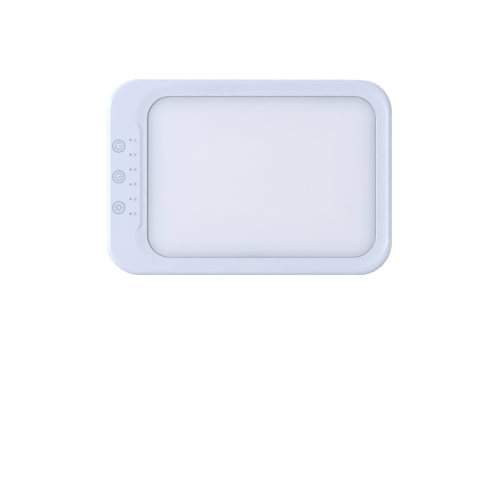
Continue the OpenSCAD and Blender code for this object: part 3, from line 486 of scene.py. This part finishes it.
ink_sheet = bmesh.new()
for column in (-1, 0, 1):
    key = (column * key_spacing, key_height)
    ink_stroke(ink_sheet, ring(key, key_ring_radius), key_ring_width, closed=True)
power = (-key_spacing, key_height)
ink_stroke(ink_sheet, arc(power, power_radius, power_gap, 360 - power_gap), sign_line)
ink_stroke(ink_sheet, [(power[0], power[1] + end) for end in power_bar], sign_line)
ink_stroke(ink_sheet, ring((0.0, key_height), timer_radius), sign_line, closed=True)
hands = [(0.0, key_height + minute_hand), (0.0, key_height), (hour_hand[0], key_height + hour_hand[1])]
ink_stroke(ink_sheet, hands, sign_line)
sun = (key_spacing, key_height)
ink_stroke(ink_sheet, ring(sun, sun_radius), sign_line, closed=True)
for ray in range(8):
    turn = math.radians(ray * 45)
    way = Vector((math.sin(turn), math.cos(turn)))
    ink_stroke(ink_sheet, [Vector(sun) + way * reach for reach in sun_rays], sign_line)
bmesh.ops.recalc_face_normals(ink_sheet, faces=ink_sheet.faces)
ink_mesh = bpy.data.meshes.new("key_printing")
ink_sheet.to_mesh(ink_mesh)
ink_sheet.free()
key_printing = bpy.data.objects.new("key_printing", ink_mesh)
scene.collection.objects.link(key_printing)

paint = Finish("key_ink")
wear = paint.noise(per_metre=900, detail=2.0)
full_ink = (0.235, 0.305, 0.470)
thin_ink = (0.300, 0.370, 0.530)
ink_colour = paint.mix(paint.range(wear, 0.25, 0.75), full_ink, thin_ink)
thickness = paint.bump(wear, distance=0.000004)
key_ink = paint.surface(Base_Color=ink_colour, Roughness=0.42 + wear * 0.1, Normal=thickness)
key_printing.data.materials.append(key_ink)
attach(key_printing, "panel")

for place in range(6):
    across = (place - 2.5) * pinhole_spacing
    words = bpy.data.curves.new("minutes", "FONT")
    words.body = str((place + 1) * 10)
    words.size = digit_size
    words.offset = digit_boldness
    words.align_x = "CENTER"
    words.extrude = ink_height / 2
    words.resolution_u = 4
    text = bpy.data.objects.new("minutes", words)
    scene.collection.objects.link(text)
    shaped = bpy.data.meshes.new_from_object(text)
    bpy.data.objects.remove(text)
    on_bezel = panel_matrix(across, face_depth - ink_height / 2, digit_place)
    shaped.transform(on_bezel @ Matrix.Scale(0.001, 4))
    digits = bpy.data.objects.new(f"minutes_{(place + 1) * 10}", shaped)
    scene.collection.objects.link(digits)
    digits.data.materials.clear()
    digits.data.materials.append(key_ink)
    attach(digits, "panel")


# Diffuser
# Opal sheet whose raised face fills the window, lit from its edges: unlit it is bluish white, and along
# its border its colour is painted greyer as painted shade, darkest at the edge and fading inwards.
paint = Finish("opal_sheet")
painted_shade_reach = 40
across = abs(paint.along((1, 0, 0)))
up = abs(paint.along(up_way, panel_foot.dot(up_way) + window_middle))
past_side = across - (window_half[0] - window_corner)
past_end = up - (window_half[1] - window_corner)
from_corner = (past_side.over(0) ** 2 + past_end.over(0) ** 2) ** 0.5
painted_border_shade = (window_corner - from_corner - past_side.under(0).over(past_end.under(0))) / painted_shade_reach
# Painted shade: the ramp darkens the opal towards the edge of the window.
opal = paint.ramp(
    painted_border_shade,
    [
        (0.0, (0.50, 0.545, 0.645)),
        (0.05, (0.58, 0.62, 0.72)),
        (0.16, (0.715, 0.745, 0.840)),
        (0.36, (0.785, 0.805, 0.895)),
        (1.0, (0.810, 0.820, 0.905)),
    ],
)
cloud = paint.noise(per_metre=14, detail=2.0)
grain = paint.noise(per_metre=3800, detail=2.0)
opal = paint.mix(paint.range(cloud, 0.25, 0.75) * 0.3, opal, (0.80, 0.775, 0.87))
frosting = paint.bump(grain, distance=0.000006, strength=0.4)
opal_sheet = paint.surface(Base_Color=opal, Roughness=0.50 + grain * 0.1, Normal=frosting, IOR=1.49)
finished("diffuser", opal_sheet)

paint = Finish("gasket_foam")
cells = paint.noise(per_metre=2600, detail=3.0, roughness=0.7)
foam = paint.mix(cells, (0.80, 0.80, 0.79), (0.90, 0.90, 0.89))
pores = paint.bump(cells, distance=0.00008)
finished("diffuser_gasket", paint.surface(Base_Color=foam, Roughness=0.9, Normal=pores))


# Rear shell
# Moulded in the same cool plastic: a crowned back with a large soft edge, the stand recess with its
# raised border, and the facet of the power socket.
# The back's grey is the bezel's plastic painted darker, as painted shade.
back_shaded_grey = (0.610, 0.668, 0.790)
back_shaded_flow = (0.630, 0.686, 0.803)
finished("rear_shell", housing_plastic("back_plastic", back_shaded_grey, back_shaded_flow))


# Moulded stitches
# A line of raised grains, moulded on the back like the seam of a sewn case. On the long sides they
# slant, on the short ones they lie across the line, and the mouth of the recess interrupts them.
panel_size = (162.0, 235.0)
seam_inset = 17.0
seam_corner = 8.0
stitch_pitch = 4.3
stitch_length = 5.0
stitch_width = 1.8
stitch_height = 0.65
short_side_extra = 0.7
long_side_slant = 55
mouth_half = 34.0
half_wide = panel_size[0] / 2 - seam_inset
low, high = seam_inset, panel_size[1] - seam_inset


def seam_point(run):
    """Place and direction on the rounded rectangle of the seam, run millimetres from its start."""
    straight_up = high - low - 2 * seam_corner
    straight_over = 2 * (half_wide - seam_corner)
    turn_length = math.pi / 2 * seam_corner
    spot, heading = Vector((half_wide, low + seam_corner)), 90.0
    half_way_round = ((straight_up, False), (turn_length, True), (straight_over, False), (turn_length, True))
    for length, turning in half_way_round * 2:
        part = min(run, length)
        if turning:
            share = math.radians(90 * part / turn_length)
            way = math.radians(heading)
            centre = spot + Vector((-math.sin(way), math.cos(way))) * seam_corner
            spot = centre + Vector((math.sin(way + share), -math.cos(way + share))) * seam_corner
            heading += math.degrees(share)
        else:
            spot = spot + Vector((math.cos(math.radians(heading)), math.sin(math.radians(heading)))) * part
        run -= part
        if run <= 0:
            break
    return spot, heading % 360


seam_length = 2 * (high - low + 2 * half_wide - 4 * seam_corner) + 2 * math.pi * seam_corner
count = round(seam_length / stitch_pitch)
seam = bmesh.new()
for i in range(count):
    spot, heading = seam_point(seam_length * i / count)
    at_mouth = spot.y < low + seam_corner / 4 and abs(spot.x) < mouth_half
    if at_mouth:
        continue
    along_side = abs(math.sin(math.radians(heading)))
    slant = math.radians(90 - long_side_slant * along_side)
    turn = math.radians(heading) + slant
    grain = bmesh.ops.create_uvsphere(seam, u_segments=16, v_segments=10, radius=0.5)
    width = stitch_width + short_side_extra * (1 - along_side)
    lie = Matrix.Rotation(turn, 4, "Z") @ Matrix.Diagonal((stitch_length, width, 2 * stitch_height, 1))
    to_panel = Matrix((Vector((1, 0, 0)), up_way, back_way)).transposed().to_4x4()
    place = Matrix.Translation(on_panel(spot.x, 0.0, spot.y)) @ to_panel @ Matrix.Scale(0.001, 4) @ lie
    bmesh.ops.transform(seam, matrix=place, verts=grain["verts"])
bmesh.ops.recalc_face_normals(seam, faces=seam.faces)
seam_mesh = bpy.data.meshes.new("moulded_stitches")
seam.to_mesh(seam_mesh)
seam.free()
seam_mesh.polygons.foreach_set("use_smooth", [True] * len(seam_mesh.polygons))
stitches = bpy.data.objects.new("moulded_stitches", seam_mesh)
scene.collection.objects.link(stitches)
# The stitches are the back's plastic painted lighter: a painted highlight where light catches the grains.
stitch_painted_highlight = (0.715, 0.770, 0.885)
stitch_highlight_flow = (0.740, 0.792, 0.900)
stitch_highlight_plastic = housing_plastic("stitch_highlight_plastic", stitch_painted_highlight, stitch_highlight_flow)
stitches.data.materials.append(stitch_highlight_plastic)
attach(stitches, "panel")


# Stand
# Tapered arm with a curled tip and a ribbed inner side, moulded in the housing's plastic, on a ground
# steel pin that runs in two acetal bushes between friction washers and ends in push-on clips.
# The arm's grey is the housing's plastic painted darker, as painted shade.
arm_shaded_grey = (0.628, 0.686, 0.812)
arm_shaded_flow = (0.646, 0.702, 0.824)
finished("stand_arm", housing_plastic("arm_plastic", arm_shaded_grey, arm_shaded_flow))


def turned_metal(name, base, roughness, lines_per_metre=900):
    """Steel with fine drawn lines and a few dull patches."""
    paint = Finish(name)
    stretch = paint.node("ShaderNodeMapping", {}, {"Vector": paint.place(), "Scale": (1.0, 12.0, 12.0)})[0]
    drawn = paint.noise(lines_per_metre, detail=2.0, vector=stretch)
    dull = paint.noise(per_metre=160, detail=3.0)
    colour = paint.mix(dull, base, tuple(c * 0.86 for c in base))
    rough = roughness + drawn * 0.12 + dull * 0.08
    normal = paint.bump(drawn, distance=0.000006, strength=0.6)
    return paint.surface(Base_Color=colour, Metallic=1.0, Roughness=rough, Normal=normal)


def moulded(name, base, roughness, per_metre=2400):
    """Small moulded or coated piece with a fine even grain."""
    paint = Finish(name)
    grain = paint.noise(per_metre, detail=2.0)
    patch = paint.noise(per_metre=120, detail=2.0)
    colour = paint.mix(patch, base, tuple(c * 0.9 for c in base))
    normal = paint.bump(grain, distance=0.000012, strength=0.5)
    return paint.surface(Base_Color=colour, Roughness=roughness + grain * 0.12, Normal=normal)


pin_steel = turned_metal("pin_steel", base=(0.60, 0.61, 0.63), roughness=0.22)
finished("hinge_pin", pin_steel)
finished("pin_clips", pin_steel)
finished("hinge_washers", turned_metal("washer_steel", base=(0.68, 0.69, 0.71), roughness=0.28))
finished("hinge_bushes", moulded("bush_plastic", base=(0.86, 0.82, 0.72), roughness=0.35))


# Power socket
# Black barrel socket with a nickel-plated centre contact, pressed against the facet from inside by a
# small sheet-metal bracket and its screw.
finished("jack_body", moulded("socket_black", base=(0.020, 0.022, 0.026), roughness=0.38))
finished("jack_pin", turned_metal("socket_contact", base=(0.72, 0.72, 0.74), roughness=0.18))
finished("jack_bracket", turned_metal("bracket_steel", base=(0.58, 0.59, 0.61), roughness=0.32))
screw_steel = turned_metal("screw_steel", base=(0.50, 0.51, 0.53), roughness=0.30)
for screws in ("jack_bracket_screw", "board_screws", "tray_screws"):
    finished(screws, screw_steel)


# Light pipe
# One smoky clear acrylic moulding between the indicator diodes and the bezel. Its pins fill the
# pinholes, and look dark while the diodes are off.
paint = Finish("light_pipe")
haze = paint.noise(per_metre=700, detail=2.0)
smoke = paint.mix(haze, (0.030, 0.034, 0.050), (0.050, 0.056, 0.075))
finished("light_pipe", paint.surface(Base_Color=smoke, Roughness=0.22 + haze * 0.1, IOR=1.49))


# Light stack
# Film, acrylic guide, white reflector and aluminium tray, stacked behind the diffuser, with a diode
# strip along each long side. Screws through its tabs hold the tray down.
film = moulded("white_film", base=(0.88, 0.88, 0.88), roughness=0.55, per_metre=1200)
finished("diffuser_film", film)
finished("reflector_sheet", film)
paint = Finish("clear_acrylic")
haze = paint.noise(per_metre=300, detail=2.0)
acrylic = paint.mix(haze, (0.86, 0.93, 0.95), (0.80, 0.90, 0.93))
clear_acrylic = paint.surface(Base_Color=acrylic, Roughness=0.06 + haze * 0.05, IOR=1.49, Alpha=0.4)
finished("light_guide", clear_acrylic)
tray_sheet = turned_metal("tray_sheet", base=(0.76, 0.77, 0.78), roughness=0.34, lines_per_metre=300)
finished("light_tray", tray_sheet)
strip_board = moulded("strip_board", base=(0.82, 0.84, 0.82), roughness=0.45)
diode = moulded("diode", base=(0.90, 0.78, 0.30), roughness=0.30, per_metre=900)
for side in ("left", "right"):
    finished(f"led_strip_{side}", strip_board)
    finished(f"leds_{side}", diode)


# Control board
# Green circuit board behind the touch strip, with its chip, coil, capacitor and wire sockets on the
# back and the touch springs and indicator diodes on the front, and the wires that leave it.
paint = Finish("circuit_board")
grid = {"Vector": paint.place(), "Scale": 420.0, "Mortar Size": 0.03}
tracks = paint.node("ShaderNodeTexBrick", {}, grid)[-1]
mask = paint.noise(per_metre=700, detail=2.0)
green = paint.mix(mask, (0.020, 0.125, 0.055), (0.028, 0.155, 0.070))
green = paint.mix(tracks * 0.5, green, (0.045, 0.235, 0.110))
relief = paint.bump(tracks, distance=0.00002)
finished("control_board", paint.surface(Base_Color=green, Roughness=0.30 + mask * 0.12, Normal=relief))
finished("control_chip", moulded("chip", base=(0.022, 0.022, 0.024), roughness=0.5))
finished("driver_coil", moulded("coil", base=(0.090, 0.045, 0.025), roughness=0.4))
finished("filter_capacitor", turned_metal("capacitor_can", base=(0.70, 0.71, 0.73), roughness=0.25))
finished("touch_springs", turned_metal("contact_brass", base=(0.72, 0.52, 0.22), roughness=0.25))
finished("indicator_leds", diode)
connector = moulded("connector", base=(0.84, 0.80, 0.70), roughness=0.4)
finished("led_connector", connector)
finished("jack_connector", connector)
finished("led_wires", moulded("white_wire", base=(0.70, 0.72, 0.74), roughness=0.45, per_metre=1500))
finished("jack_wires", moulded("red_wire", base=(0.42, 0.035, 0.028), roughness=0.4, per_metre=1500))
